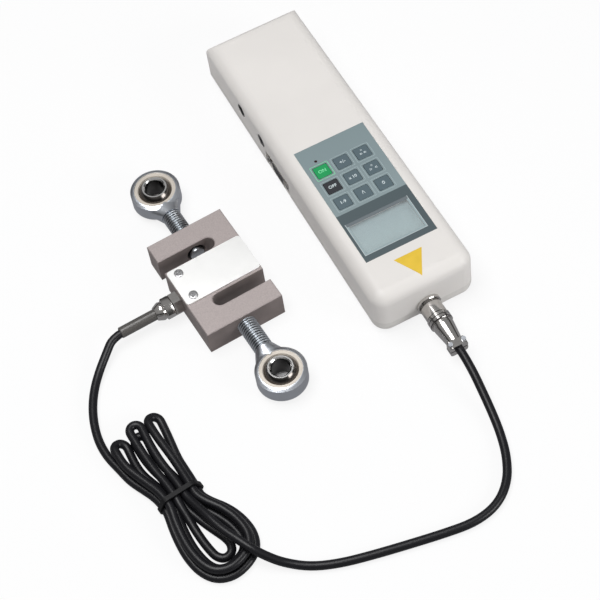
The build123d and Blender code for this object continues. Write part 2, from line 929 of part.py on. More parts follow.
clamp_screw_places = [
    (side * clamp_screw_x, near_face - plug_tail_end - clamp_length / 2) for side in (-1, 1)
]
with BuildPart() as plug_shell:
    add(plug_body.part)
    add(clamp_half(-1).part)
write(plug_shell, "plug_shell")
write(clamp_half(1), "plug_clamp")
write(
    screws(
        clamp_screw_places,
        clamp_screw_radius,
        clamp_height,
        clamp_screw_head_radius,
        clamp_screw_head,
        Plane.XY.offset(plug_height + clamp_height / 2),
    ),
    "plug_clamp_screws",
)
insert_plug_radius = plug_nose_radius - plug_nose_wall - plug_insert_gap
write(
    turned(
        plug_side,
        (plug_nose_start + plug_insert_set_in, 0),
        (plug_nose_start + plug_insert_set_in, insert_plug_radius),
        (shoulder_end, insert_plug_radius),
        (shoulder_end, 0),
    ),
    "plug_insert",
)

# ================================ Load cell ====================================================

cell = Plane(
    origin=(cell_x, cell_y, 0),
    x_dir=(cos(radians(cell_turn)), sin(radians(cell_turn)), 0),
    z_dir=(0, 0, 1),
)
block_middle = block_height / 2
slot_y = slot_offset + slot_width / 2
pocket_depth = (block_height - web_thickness) / 2
base_cover_width = pocket_width + 2 * base_cover_margin
base_cover_length = pocket_length + 2 * base_cover_margin
cover_screw_places = [(cover_screw_x, side * cover_screw_y) for side in (-1, 1)]


def cell_point(x, y, z=block_middle):
    """A point of the load cell's own axes."""
    return cell.from_local_coords((x, y, z))


block_ends = [
    Plane(cell_point(0, side * block_length / 2), x_dir=cell.x_dir, z_dir=cell.y_dir * side)
    for side in (-1, 1)
]
gland_face = cell_point(-block_width / 2, gland_y)
gland_out = Plane(gland_face, x_dir=cell.y_dir, z_dir=cell.x_dir * -1)
gland_side = Plane(gland_face, x_dir=cell.x_dir * -1, z_dir=cell.z_dir)

with BuildPart() as cell_block:
    with BuildSketch(cell):
        Rectangle(block_width, block_length)
        for side in (-1, 1):
            with Locations((-side * block_width / 2, side * slot_y)):
                SlotOverall(2 * slot_reach, slot_width, mode=Mode.SUBTRACT)
    extrude(amount=block_height)
    chamfer(cell_block.edges().group_by(Axis.Z)[0], block_edge)
    chamfer(cell_block.edges().group_by(Axis.Z)[-1], block_edge)
    with BuildSketch(cell, cell.offset(block_height - pocket_depth)):
        RectangleRounded(pocket_width, pocket_length, pocket_corner)
    extrude(amount=pocket_depth, mode=Mode.SUBTRACT)
    with BuildSketch(cell):
        RectangleRounded(
            base_cover_width + 2 * base_cover_gap,
            base_cover_length + 2 * base_cover_gap,
            pocket_corner,
        )
    extrude(amount=cover_thickness + base_cover_set_in, mode=Mode.SUBTRACT)
    with BuildSketch(*block_ends):
        Circle(shank_radius + running_gap)
    extrude(amount=slot_y - block_length / 2, mode=Mode.SUBTRACT)
    with BuildSketch(gland_out):
        Circle(gland_spigot_radius + screw_gap)
    extrude(amount=-gland_spigot - screw_clearance, mode=Mode.SUBTRACT)
    with BuildSketch(gland_out):
        Circle(cable_bore)
    extrude(amount=pocket_width / 2 - pocket_corner - block_width / 2, mode=Mode.SUBTRACT)
    with BuildSketch(cell.offset(block_height)):
        with Locations(*cover_screw_places):
            Circle(cover_screw_radius + screw_gap)
    extrude(amount=-cover_screw_length, mode=Mode.SUBTRACT)
write(cell_block, "cell_block")

with BuildPart() as cell_cover:
    with BuildSketch(cell.offset(block_height)):
        RectangleRounded(cover_width, cover_length, cover_corner)
        with Locations(*cover_screw_places):
            Circle(cover_screw_radius + screw_clearance, mode=Mode.SUBTRACT)
    extrude(amount=cover_thickness)
write(cell_cover, "cell_cover")

with BuildPart() as cell_base_cover:
    with BuildSketch(cell.offset(base_cover_set_in)):
        RectangleRounded(base_cover_width, base_cover_length, pocket_corner)
    extrude(amount=cover_thickness)
write(cell_base_cover, "cell_base_cover")

write(
    screws(
        cover_screw_places,
        cover_screw_radius,
        cover_thickness + cover_screw_length - screw_gap,
        cover_screw_head_radius,
        cover_screw_head,
        cell.offset(block_height + cover_thickness),
    ),
    "cover_screws",
)

with BuildPart() as strain_gauges:
    with BuildSketch(
        cell.offset(pocket_depth - gauge_thickness),
        cell.offset(block_height - pocket_depth),
    ):
        with Locations((-gauge_x, 0), (gauge_x, 0)):
            Rectangle(gauge_side, gauge_side, rotation=45)
    extrude(amount=gauge_thickness)
write(strain_gauges, "strain_gauges")

with BuildPart() as gland_body:
    with BuildSketch(gland_out):
        RegularPolygon(gland_flats / 2, 6, major_radius=False)
    extrude(amount=gland_hex)
    with BuildSketch(gland_out.offset(-gland_spigot)):
        Circle(gland_spigot_radius)
    extrude(amount=gland_spigot)
    with BuildSketch(gland_out.offset(gland_hex)):
        Circle(gland_thread_radius)
    extrude(amount=gland_thread)
    with BuildSketch(gland_out.offset(-gland_spigot)):
        Circle(cable_bore)
    extrude(amount=gland_spigot + gland_hex + gland_thread, mode=Mode.SUBTRACT)
write(gland_body, "gland_body")

gland_nut_end = gland_hex + gland_nut_length
write(
    turned(
        gland_side,
        (gland_hex, gland_thread_radius + screw_gap),
        (gland_hex, gland_nut_radius),
        (gland_hex + gland_thread, gland_nut_radius - gland_nut_taper),
        (gland_nut_end, sleeve_radius + gland_nut_wall),
        (gland_nut_end, sleeve_radius + screw_gap),
        (gland_hex + gland_thread, sleeve_radius + screw_gap),
        (gland_hex + gland_thread, gland_thread_radius + screw_gap),
    ),
    "gland_nut",
)
sleeve_end = gland_nut_end + sleeve_length
write(
    turned(
        gland_side,
        (gland_hex + gland_thread + screw_gap, cable_bore),
        (gland_hex + gland_thread + screw_gap, sleeve_radius),
        (sleeve_end - sleeve_edge, sleeve_radius),
        (sleeve_end, sleeve_radius - sleeve_edge),
        (sleeve_end, cable_bore),
    ),
    "cable_sleeve",
)

# ---- Rod ends: housing, race and ball on each side --------------------------------------------


def rod_end(name, side, reach):
    """One rod end, its shank screwed into the block's end and its eye this far out."""
    eye = Plane(cell_point(0, side * reach), x_dir=cell.y_dir * -side, z_dir=cell.z_dir)
    neck = Plane(eye.from_local_coords((neck_start, 0, 0)), x_dir=eye.y_dir, z_dir=eye.x_dir)
    with BuildPart() as housing:
        with BuildSketch(eye.offset(-head_thickness / 2)):
            Circle(head_radius)
        extrude(amount=head_thickness)
        chamfer(housing.edges().filter_by(GeomType.CIRCLE), length=head_edge_rise, length2=head_edge)
        with BuildSketch(neck):
            Ellipse(neck_half_width, head_thickness / 2)
        with BuildSketch(neck.offset(thread_start - neck_start)):
            Circle(shank_radius + neck_foot)
        loft()
        with BuildSketch(neck.offset(thread_start - neck_start)) as shank_circle:
            Circle(shank_radius)
        extrude(shank_circle.sketch, amount=shank_reach - thread_start)
        chamfer(housing.faces().sort_by(Axis(eye.origin, eye.x_dir))[-1].edges(), shank_tip)
        with BuildSketch(eye.offset(-head_thickness / 2)) as race_seat:
            Circle(race_radius)
        extrude(race_seat.sketch, amount=head_thickness, mode=Mode.SUBTRACT)
    write(housing, f"{name}_rod_end_housing")
    with BuildPart(eye) as race:
        Cylinder(race_radius - seat_gap, race_thickness)
        Sphere(ball_radius + running_gap, mode=Mode.SUBTRACT)
        chamfer(race.edges().filter_by(GeomType.CIRCLE).group_by(SortBy.RADIUS)[0], race_mouth)
    write(race, f"{name}_rod_end_race")
    with BuildPart(eye) as ball:
        Sphere(ball_radius)
        split(bisect_by=eye.offset(-ball_width / 2), keep=Keep.TOP)
        split(bisect_by=eye.offset(ball_width / 2), keep=Keep.BOTTOM)
        Hole(ball_bore)
        chamfer(ball.edges().filter_by(GeomType.CIRCLE).group_by(SortBy.RADIUS)[0], ball_chamfer)
    write(ball, f"{name}_rod_end_ball")
    print(name, "eye at", eye.origin)


rod_end("upper", 1, eye_upper)
rod_end("lower", -1, eye_lower)

# ================================ Cable ========================================================


def cord(node, points):
    """A stretch of cable that lies free: straight runs joined by tangent arcs."""
    runs = [(Vector(b) - Vector(a)) for a, b in zip(points, points[1:])]
    radii = [
        0.45 * min(before.length, after.length) / tan(radians(before.get_angle(after) / 2))
        for before, after in zip(runs, runs[1:])
    ]
    with BuildPart() as tube:
        with BuildLine() as route:
            FilletPolyline(*points, radius=radii)
        start = Plane(route.wire() @ 0, z_dir=route.wire() % 0)
        with BuildSketch(start):
            Circle(cable_radius)
        sweep(path=route.wire())
    length = route.wire().length
    share = tube.part.volume / (pi * cable_radius**2 * length)
    print(node, "length", round(length, 1), "volume share", round(share, 5))
    print(node, "radii", [round(radius, 1) for radius in radii])
    write(tube, node)


clamp_end = near_face - plug_tail_end - clamp_length
cord(
    "cable_to_plug",
    [
        (0, clamp_end + 6, plug_height),
        (0, clamp_end - 5.5, plug_height),
        (-0.6, -169, 11.2),
        (-1.5, -180.5, 7.4),
        (-2.8, -193, 4.2),
        (-5.2, -206.5, 2.8),
        (-9.6, -221, cable_rest),
        (-17.2, -235, cable_rest),
        (-29.5, -245, cable_rest),
        (-45.5, -248.2, cable_rest),
        (-63.5, -245.6, cable_rest),
        (-83, -241.8, cable_rest),
        (-103, -237.6, cable_rest),
        (-121.5, -233, cable_rest),
        (-137, -226.6, 2.8),
        (-149, -217.8, 4.6),
        (-156.6, -210.6, 7.4),
        (-161.2, -205.5, 9.2),
    ],
)
sleeve_exit = -block_width / 2 - sleeve_end
cord(
    "cable_to_cell",
    [
        tuple(cell_point(sleeve_exit + 5, gland_y)),
        tuple(cell_point(sleeve_exit - 5, gland_y)),
        (-178.6, -44.6, 6.6),
        (-187, -51.8, 3.6),
        (-194.6, -61, cable_rest),
        (-200.6, -71.8, cable_rest),
        (-204.8, -83.6, cable_rest),
        (-207, -96, cable_rest),
        (-206.2, -108.2, cable_rest),
        (-202, -119, 3.4),
    ],
)

upper_loops = [(-196, -108.4, 6.6), (-186, -102.8, 7), (-175.2, -102.8, 6.8)]
waist = [(tie_x - tie_high_row, tie_y, 5.2), (tie_x + tie_high_row, tie_y, 5.2)]
lower_loops = [(-183.6, -189, 12.6), (-176.5, -199.3, 12.5), (-166.3, -194.5, 13)]
tie_middle = Plane((tie_x, tie_y, 0), x_dir=(1, 0, 0), z_dir=(0, -1, 0)).rotated((0, 0, tie_turn))


def around_strands(radius):
    """The outline that wraps the tied strands, at this distance from the outer ones' centres."""
    with BuildSketch(Plane.XY) as outline:
        for half, height in ((tie_low_row, tie_low_height), (tie_high_row, tie_high_height)):
            with Locations((-half, height), (half, height)):
                Circle(radius)
        make_hull()
    return outline.sketch


with BuildPart() as cable_hank:
    for lobe in (upper_loops, lower_loops):
        with BuildSketch(Plane.XY.offset(hank_base)):
            for x, y, radius in lobe + waist:
                with Locations((x, y)):
                    Circle(radius)
            make_hull()
        extrude(amount=hank_height)
    chamfer(cable_hank.edges().group_by(Axis.Z)[-1], hank_edge)
    with BuildSketch(tie_middle.offset(-tie_width / 2 - tie_gap)):
        Rectangle(6 * tie_low_row, 3 * hank_height)
        add(around_strands(cable_radius), mode=Mode.SUBTRACT)
    extrude(amount=tie_width + 2 * tie_gap, mode=Mode.SUBTRACT)
write(cable_hank, "cable_hank")

with BuildPart() as cable_tie:
    with BuildSketch(tie_middle.offset(-tie_width / 2)):
        add(around_strands(cable_radius + tie_gap + tie_thickness))
        add(around_strands(cable_radius + tie_gap), mode=Mode.SUBTRACT)
    extrude(amount=tie_width)
write(cable_tie, "cable_tie")
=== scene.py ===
import bpy
import math
from mathutils import Matrix, Vector


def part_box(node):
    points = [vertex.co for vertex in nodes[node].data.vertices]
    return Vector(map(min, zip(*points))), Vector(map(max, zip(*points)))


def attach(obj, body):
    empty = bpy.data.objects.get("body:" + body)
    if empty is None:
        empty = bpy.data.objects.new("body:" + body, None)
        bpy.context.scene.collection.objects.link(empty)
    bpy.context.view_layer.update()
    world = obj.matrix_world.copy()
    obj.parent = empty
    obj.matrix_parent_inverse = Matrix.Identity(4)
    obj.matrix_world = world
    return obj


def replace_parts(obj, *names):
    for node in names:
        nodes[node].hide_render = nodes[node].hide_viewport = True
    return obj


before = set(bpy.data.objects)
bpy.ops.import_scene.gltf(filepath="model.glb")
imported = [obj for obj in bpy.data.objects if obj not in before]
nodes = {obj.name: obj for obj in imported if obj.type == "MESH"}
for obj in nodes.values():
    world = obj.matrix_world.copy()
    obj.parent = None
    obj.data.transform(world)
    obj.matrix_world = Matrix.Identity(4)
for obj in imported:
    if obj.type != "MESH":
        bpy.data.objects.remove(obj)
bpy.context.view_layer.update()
mm = 0.001
print("frame:", len(nodes), "nodes")


# camera and light, in metres; lens and sensor in mm

view = {
    "place": (-0.270811, -0.678150, 0.966012),
    "right": (0.884378, -0.456541, -0.097194),
    "up": (0.430519, 0.717352, 0.547777),
    "back": (-0.180360, -0.526285, 0.830960),
    "lens": 116.4,
    "sensor": 36,
    "nearest": 0.05,
}
studio = {
    "overhead": (1.0, 0.7, 14.0, (-0.3, 0.04, 1.3)),  # width, length, watts, place
    "side": (0.7, 0.5, 8.0, (0.75, -1.15, 0.6)),
    "aim": (-0.08, -0.03, 0),
    # height of the direction, brightness
    "world": [(0.0, 0.5), (0.14, 0.05), (0.36, 0.05), (0.52, 0.30)],
    "floor": (0.86, 0.86, 0.87, 1),
    "floorGlow": 0.84,
    "floorRough": 0.9,
    "floorSize": 6,
    "floorDrop": 0.0002,
    "mirrored": (0.30, 0.30, 0.31, 1),  # the floor as bright metal shows it
    "underBall": (9, 13),  # mm from a ball's middle, where the glow is off and where it is full
}
# middles of the two rod ends' eyes, mm
eyeMiddles = {"upper": (-104.397, 43.385), "lower": (-95.833, -112.480)}


def makeCamera():
    camera = bpy.data.objects.new("camera", bpy.data.cameras.new("camera"))
    bpy.context.scene.collection.objects.link(camera)
    turn = Matrix((view["right"], view["up"], view["back"])).transposed()
    camera.matrix_world = Matrix.Translation(view["place"]) @ turn.to_4x4()
    camera.data.sensor_width = view["sensor"]
    camera.data.lens = view["lens"]
    camera.data.clip_start = view["nearest"]
    bpy.context.scene.camera = camera


def makeLamp(name):
    width, length, watts, place = studio[name]
    lamp = bpy.data.objects.new(name, bpy.data.lights.new(name, "AREA"))
    lamp.data.shape = "RECTANGLE"
    lamp.data.size = width
    lamp.data.size_y = length
    lamp.data.energy = watts
    bpy.context.scene.collection.objects.link(lamp)
    lamp.location = place
    aim = Vector(studio["aim"]) - Vector(place)
    lamp.rotation_euler = aim.to_track_quat("-Z", "Y").to_euler()


def makeWorld():
    world = bpy.data.worlds.new("studio")
    bpy.context.scene.world = world
    world.use_nodes = True
    tree = world.node_tree
    heading = tree.nodes.new("ShaderNodeTexCoord")
    height = tree.nodes.new("ShaderNodeSeparateXYZ")
    fade = tree.nodes.new("ShaderNodeValToRGB")
    while len(fade.color_ramp.elements) < len(studio["world"]):
        fade.color_ramp.elements.new(0.5)
    for stop, (spot, bright) in zip(fade.color_ramp.elements, studio["world"]):
        stop.position = spot
        stop.color = (bright, bright, bright, 1)
    path = tree.nodes.new("ShaderNodeLightPath")
    pick = tree.nodes.new("ShaderNodeMix")
    pick.inputs[3].default_value = 1.0
    tree.links.new(heading.outputs["Generated"], height.inputs[0])
    tree.links.new(height.outputs["Z"], fade.inputs["Fac"])
    tree.links.new(path.outputs["Is Camera Ray"], pick.inputs[0])
    tree.links.new(fade.outputs[0], pick.inputs[2])
    tree.links.new(pick.outputs[0], tree.nodes["Background"].inputs["Strength"])
    tree.nodes["Background"].inputs["Color"].default_value = (1, 1, 1, 1)


bpy.context.scene.view_settings.view_transform = "Standard"
makeCamera()
makeLamp("overhead")
makeLamp("side")
makeWorld()
print("camera and light")


# finishes

# one output of a material, with the sums that its numbers need
class Wire:
    def __init__(self, finish, socket):
        self.finish = finish
        self.socket = socket

    def sum(self, operation, *values):
        return self.finish.node("Math", {"operation": operation}, dict(enumerate(values)))

    def __add__(self, other):
        return self.sum("ADD", self, other)

    def __sub__(self, other):
        return self.sum("SUBTRACT", self, other)

    def __rsub__(self, other):
        return self.sum("SUBTRACT", other, self)

    def __mul__(self, other):
        return self.sum("MULTIPLY", self, other)

    def __gt__(self, other):
        return self.sum("GREATER_THAN", self, other)

    def __lt__(self, other):
        return self.sum("LESS_THAN", self, other)


class Finish:
    def __init__(self, name):
        self.material = bpy.data.materials.new(name)
        self.material.use_nodes = True
        self.tree = self.material.node_tree
        self.shader = self.tree.nodes["Principled BSDF"]
        self.place = self.node("TexCoord", output="Object")

    def node(self, kind, settings={}, sockets={}, output=0):
        made = self.tree.nodes.new("ShaderNode" + kind)
        for key, value in settings.items():
            setattr(made, key, value)
        for key, value in sockets.items():
            self.feed(made.inputs[key], value)
        return Wire(self, made.outputs[output])

    def feed(self, socket, value):
        if isinstance(value, Wire):
            self.tree.links.new(value.socket, socket)
        else:
            socket.default_value = value

    def set(self, **sockets):
        for key, value in sockets.items():
            self.feed(self.shader.inputs[key.replace("_", " ")], value)
        return self

    def noise(self, scale, detail):
        sockets = {"Vector": self.place, "Scale": scale, "Detail": detail, "Roughness": 0.5}
        return self.node("TexNoise", {}, sockets)

    def axis(self, letter, of=None):
        return self.node("SeparateXYZ", {}, {0: of or self.place}, "XYZ".index(letter))

    def blend(self, share, first, second):
        sockets = {0: share, 6: first, 7: second}
        return self.node("Mix", {"data_type": "RGBA"}, sockets, 2)

    def remap(self, value, low, high, to=(0.0, 1.0)):
        sockets = {"Value": value, "From Min": low, "From Max": high}
        sockets.update({"To Min": to[0], "To Max": to[1]})
        return self.node("MapRange", {}, sockets)

    def mottled(self, pattern, tint, dark, light):
        share = self.remap(pattern, *middleBand)
        return self.blend(share, shade(tint, dark), shade(tint, light))

    def bump(self, height, strength, distance):
        sockets = {"Height": height, "Strength": strength, "Distance": distance}
        return self.set(Normal=self.node("Bump", {}, sockets))


def color(r, g, b):
    return (r, g, b, 1.0)


def shade(tint, factor):
    return tuple(min(1.0, part * factor) for part in tint[:3]) + (tint[3],)


# how much of a noise's spread a finish uses
middleBand = (0.3, 0.7)
wideBand = (0.2, 0.8)

plastics = {
    "casePlastic": {"tint": color(0.735, 0.71, 0.685), "rough": 0.42, "grain": 1800, "dents": 0.05},
    # the rear shell: the case plastic made darker, as painted shade on the case's lower walls
    "rearPaintedShadePlastic": {"tint": color(0.66, 0.64, 0.615), "rough": 0.44, "grain": 1800, "dents": 0.05},
    "darkPlastic": {"tint": color(0.018, 0.018, 0.02), "rough": 0.4, "grain": 1500, "dents": 0.06},
    "keyGreen": {"tint": color(0.004, 0.30, 0.085), "rough": 0.5, "grain": 2500, "dents": 0.08},
    "keyBlack": {"tint": color(0.022, 0.024, 0.03), "rough": 0.5, "grain": 2500, "dents": 0.08},
    "keySlate": {"tint": color(0.085, 0.125, 0.145), "rough": 0.5, "grain": 2500, "dents": 0.08},
    "cableJacket": {
        "tint": color(0.008, 0.008, 0.010), "rough": 0.34, "grain": 2200, "dents": 0.10,
        "shine": 0.32,
    },
    "tieNylon": {
        "tint": color(0.008, 0.008, 0.009), "rough": 0.45, "grain": 2600, "dents": 0.08,
        "shine": 0.2,
    },
    "sleeveRubber": {
        "tint": color(0.085, 0.08, 0.075), "rough": 0.28, "grain": 2000, "dents": 0.12,
        "shine": 0.6,
    },
    "ledLens": {"tint": color(0.03, 0.014, 0.014), "rough": 0.2, "grain": 2500, "dents": 0.02},
    "boardLaminate": {"tint": color(0.02, 0.16, 0.07), "rough": 0.3, "grain": 900, "dents": 0.1},
    "batterySleeve": {"tint": color(0.03, 0.14, 0.36), "rough": 0.3, "grain": 700, "dents": 0.05},
    "foam": {"tint": color(0.035, 0.035, 0.037), "rough": 0.9, "grain": 1400, "dents": 0.8},
}
metals = {
    "nickel": {"tint": color(0.66, 0.64, 0.62), "rough": 0.13, "mottle": 0.05, "grain": 500},
    "zinc": {"tint": color(0.66, 0.69, 0.74), "rough": 0.30, "mottle": 0.10, "grain": 350},
    "brass": {"tint": color(0.72, 0.55, 0.27), "rough": 0.28, "mottle": 0.08, "grain": 400},
    "ringNickel": {
        "tint": color(0.66, 0.64, 0.62), "rough": 0.13, "mottle": 0.05, "grain": 500,
        # painted shade lines round the ring, where its grooves are: mm along, half width
        "paintedGrooveShade": [(-118.4, 0.25), (-126.7, 0.35), (-129.2, 0.25), (-131.6, 0.3)],
    },
    "raceBronze": {
        "tint": color(0.70, 0.64, 0.565), "rough": 0.30, "mottle": 0.06, "grain": 400,
        "metal": 0.3,
    },
    "coverSteel": {"tint": color(0.93, 0.93, 0.92), "rough": 0.42, "mottle": 0.03, "grain": 300},
    "screwSteel": {"tint": color(0.60, 0.60, 0.61), "rough": 0.24, "mottle": 0.1, "grain": 500},
    "gaugeFoil": {"tint": color(0.62, 0.40, 0.15), "rough": 0.35, "mottle": 0.1, "grain": 600},
}


def makePlastic(name):
    look = plastics[name]
    finish = Finish(name)
    grain = finish.noise(look["grain"], 2.0)
    cloud = finish.noise(22.0, 3.0)
    rough = (look["rough"] - 0.04, look["rough"] + 0.05)
    finish.set(Base_Color=finish.mottled(cloud, look["tint"], 0.97, 1.02))
    finish.set(Roughness=finish.remap(grain, *wideBand, rough))
    finish.set(Specular_IOR_Level=look.get("shine", 0.4))
    finish.bump(grain, look["dents"], 0.0002)
    return finish.material


def makeMetal(name):
    look = metals[name]
    finish = Finish(name)
    grain = finish.noise(look["grain"], 4.0)
    cloud = finish.noise(70.0, 4.0)
    dark = shade(look["tint"], 1 - look["mottle"])
    tint = finish.blend(finish.remap(cloud, 0.35, 0.65), dark, look["tint"])
    # dark lines painted round the ring: painted shade where its grooves are
    for spot, half in look.get("paintedGrooveShade", []):
        off = finish.axis("Y") - spot * mm
        tint = finish.blend(off * off < (half * mm) ** 2, tint, shade(look["tint"], 0.12))
    finish.set(Base_Color=tint)
    rough = (look["rough"] - 0.03, look["rough"] + 0.04)
    finish.set(Roughness=finish.remap(grain, 0.25, 0.75, rough))
    finish.set(Metallic=look.get("metal", 1.0))
    finish.bump(grain, 0.015, 0.0002)
    return finish.material


finishes = {name: makePlastic(name) for name in plastics}
finishes.update({name: makeMetal(name) for name in metals})

overlayPrintAndShade = {
    "upper": color(0.225, 0.285, 0.30),
    # the upper print as it is made darker at the far end: painted shade
    "paintedFarShade": color(0.175, 0.235, 0.25),
    "lower": color(0.066, 0.092, 0.102),
    "bandEdge": -48.3,  # mm along the case
    # where the painted shade on the upper print starts and ends, mm along, and how strong it is
    "fade": (-50, 8),
    "farShadeStrength": 0.55,
}


def makeOverlay():
    finish = Finish("overlayFilm")
    weave = finish.noise(3200.0, 2.0)
    cloud = finish.noise(14.0, 2.0)
    upper = finish.mottled(cloud, overlayPrintAndShade["upper"], 0.94, 1.06)
    along = finish.axis("Y")
    # the upper print darkens towards the far end: painted shade
    farShadeShare = finish.remap(along, *(spot * mm for spot in overlayPrintAndShade["fade"]))
    upper = finish.blend(farShadeShare * overlayPrintAndShade["farShadeStrength"], upper, overlayPrintAndShade["paintedFarShade"])
    below = along < overlayPrintAndShade["bandEdge"] * mm
    finish.set(Base_Color=finish.blend(below, upper, overlayPrintAndShade["lower"]))
    finish.set(Roughness=finish.remap(weave, *wideBand, (0.36, 0.46)))
    return finish.bump(weave, 0.06, 0.0001).material


cellLook = {
    # tint of the faces that point up, and the side faces' darker tint, which is painted shade
    "top": color(0.40, 0.35, 0.342),
    "side": color(0.25, 0.21, 0.20),
    "speck": 1300.0,
    "rough": 0.46,
    "metal": 0.35,
}


def makeCellMetal():
    finish = Finish("cellMetal")
    speck = finish.noise(cellLook["speck"], 4.0)
    cloud = finish.noise(60.0, 4.0)
    facing = finish.axis("Z", finish.node("TexCoord", output="Normal"))
    # the side faces take the darker tint by the way they point: painted shade
    paintedShadeByFacing = finish.remap(facing, 0.3, 0.8)
    top = finish.mottled(speck, cellLook["top"], 0.88, 1.1)
    side = finish.mottled(cloud, cellLook["side"], 0.85, 1.15)
    finish.set(Base_Color=finish.blend(paintedShadeByFacing, side, top))
    finish.set(Metallic=cellLook["metal"])
    rough = (cellLook["rough"] - 0.06, cellLook["rough"] + 0.08)
    finish.set(Roughness=finish.remap(speck, *wideBand, rough))
    return finish.bump(speck, 0.10, 0.0002).material


displayLook = {
    # the glass's tint at its near edge, and darker at its far edge: painted reflection
    "near": color(0.33, 0.43, 0.44),
    "far": color(0.24, 0.32, 0.34),
    "window": color(0.80, 0.86, 0.88),
    "line": color(0.50, 0.56, 0.57),
    "border": color(0.30, 0.38, 0.40),
    "shade": color(0.15, 0.175, 0.19),
    "shadeWidth": 2.2,  # mm from the window's far edge
    "lineWidth": 0.35,
    "borderWidth": 1.35,
}


def makeDisplayGlass():
    finish = Finish("displayGlass")
    low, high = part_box("lcd_glass")
    along = finish.remap(finish.axis("Y"), low.y, high.y)
    dots = finish.noise(4200.0, 1.0)
    # darker towards the far edge: painted reflection
    paintedReflectionTone = finish.blend(along, displayLook["near"], displayLook["far"])
    finish.set(Base_Color=paintedReflectionTone)
    finish.set(Roughness=finish.remap(dots, *wideBand, (0.16, 0.24)))
    return finish.bump(dots, 0.02, 0.0001).material


def makeWindow():
    finish = Finish("windowFilm")
    low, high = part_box("lcd_window")
    haze = finish.noise(300.0, 3.0)
    across = finish.axis("X")
    along = finish.axis("Y")

    def inside(width, far):
        narrow = (across > low.x + width * mm) * (across < high.x - width * mm)
        return narrow * (along > low.y + width * mm) * (along < high.y - far * mm)

    edge = displayLook["lineWidth"]
    clearOfBorder = inside(displayLook["borderWidth"], 0)
    shaded = along > high.y - displayLook["shadeWidth"] * mm
    tint = finish.blend(clearOfBorder, displayLook["border"], displayLook["window"])
    tint = finish.blend(shaded, tint, displayLook["shade"])
    tint = finish.blend(inside(edge, 0), displayLook["line"], tint)
    finish.set(Base_Color=tint)
    finish.set(Roughness=finish.remap(haze, *middleBand, (0.05, 0.09)))
    clear = finish.remap(haze, *middleBand, (0.90, 0.87))
    seeThrough = inside(displayLook["borderWidth"], displayLook["shadeWidth"])
    finish.set(Alpha=1 - clear * seeThrough)
    return finish.material


stickerYellow = color(0.74, 0.50, 0.04)


def makeSticker():
    finish = Finish("stickerFilm")
    fade = finish.noise(160.0, 3.0)
    finish.set(Base_Color=finish.mottled(fade, stickerYellow, 0.95, 1.04))
    finish.set(Roughness=finish.remap(fade, *middleBand, (0.3, 0.38)))
    return finish.bump(fade, 0.05, 0.0002).material


ballLook = {
    "boreRadius": 6.03,  # mm
    # the flat faces light and the round sides dark: painted reflection
    "face": color(0.92, 0.91, 0.90),
    "side": color(0.16, 0.145, 0.135),
    # the bore painted near black: painted shade
    "bore": color(0.03, 0.029, 0.029),
    "haze": 0.06,
    "hazeTint": color(0.3, 0.28, 0.26),
}


def makeBallSteel():
    finish = Finish("ballSteel")
    cloud = finish.noise(220.0, 4.0)
    flat = finish.axis("Z", finish.node("TexCoord", output="Normal"))
    # round sides darker than flat faces: painted reflection
    tint = finish.blend(flat * flat > 0.5, ballLook["side"], ballLook["face"])
    # the bore inside the ball painted near black: painted shade
    for x, y in eyeMiddles.values():
        across = finish.axis("X") - x * mm
        along = finish.axis("Y") - y * mm
        bore = across * across + along * along < (ballLook["boreRadius"] * mm) ** 2
        tint = finish.blend(bore, tint, ballLook["bore"])
    haze = finish.remap(cloud, *middleBand) * ballLook["haze"]
    finish.set(Base_Color=finish.blend(haze, tint, ballLook["hazeTint"]))
    finish.set(Metallic=1.0)
    finish.set(Roughness=finish.remap(cloud, *middleBand, (0.17, 0.20)))
    return finish.bump(cloud, 0.01, 0.0002).material


# the crests' tint, and the roots near black: painted shade in the thread's grooves
threadTintAndPaintedShade = {"crest": color(0.72, 0.76, 0.80), "root": color(0.06, 0.065, 0.07)}


def makeThreadSteel():
    finish = Finish("threadSteel")
    cloud = finish.noise(350.0, 3.0)
    # painted shade: roots near black, crests in the steel's tint
    paintedRootShade = finish.node("Attribute", {"attribute_name": "paintedRootShade"}, {}, "Fac")
    finish.set(Base_Color=finish.blend(paintedRootShade, threadTintAndPaintedShade["crest"], threadTintAndPaintedShade["root"]))
    finish.set(Metallic=1.0)
    finish.set(Roughness=finish.remap(cloud, *middleBand, (0.24, 0.34)))
    return finish.bump(cloud, 0.04, 0.0002).material


inks = {
    "paleInk": color(0.62, 0.70, 0.72),
    "lineInk": color(0.36, 0.45, 0.47),
    "greenInk": color(0.22, 0.78, 0.40),
}


def makeInk(name):
    finish = Finish(name)
    grain = finish.noise(2600.0, 2.0)
    finish.set(Base_Color=finish.mottled(grain, inks[name], 0.93, 1.05))
    finish.set(Roughness=finish.remap(grain, *wideBand, (0.42, 0.55)))
    return finish.bump(grain, 0.05, 0.0001).material


finishes.update({name: makeInk(name) for name in inks})
finishes["ballSteel"] = makeBallSteel()
finishes["threadSteel"] = makeThreadSteel()
finishes["overlayFilm"] = makeOverlay()
finishes["cellMetal"] = makeCellMetal()
finishes["displayGlass"] = makeDisplayGlass()
finishes["windowFilm"] = makeWindow()
finishes["stickerFilm"] = makeSticker()

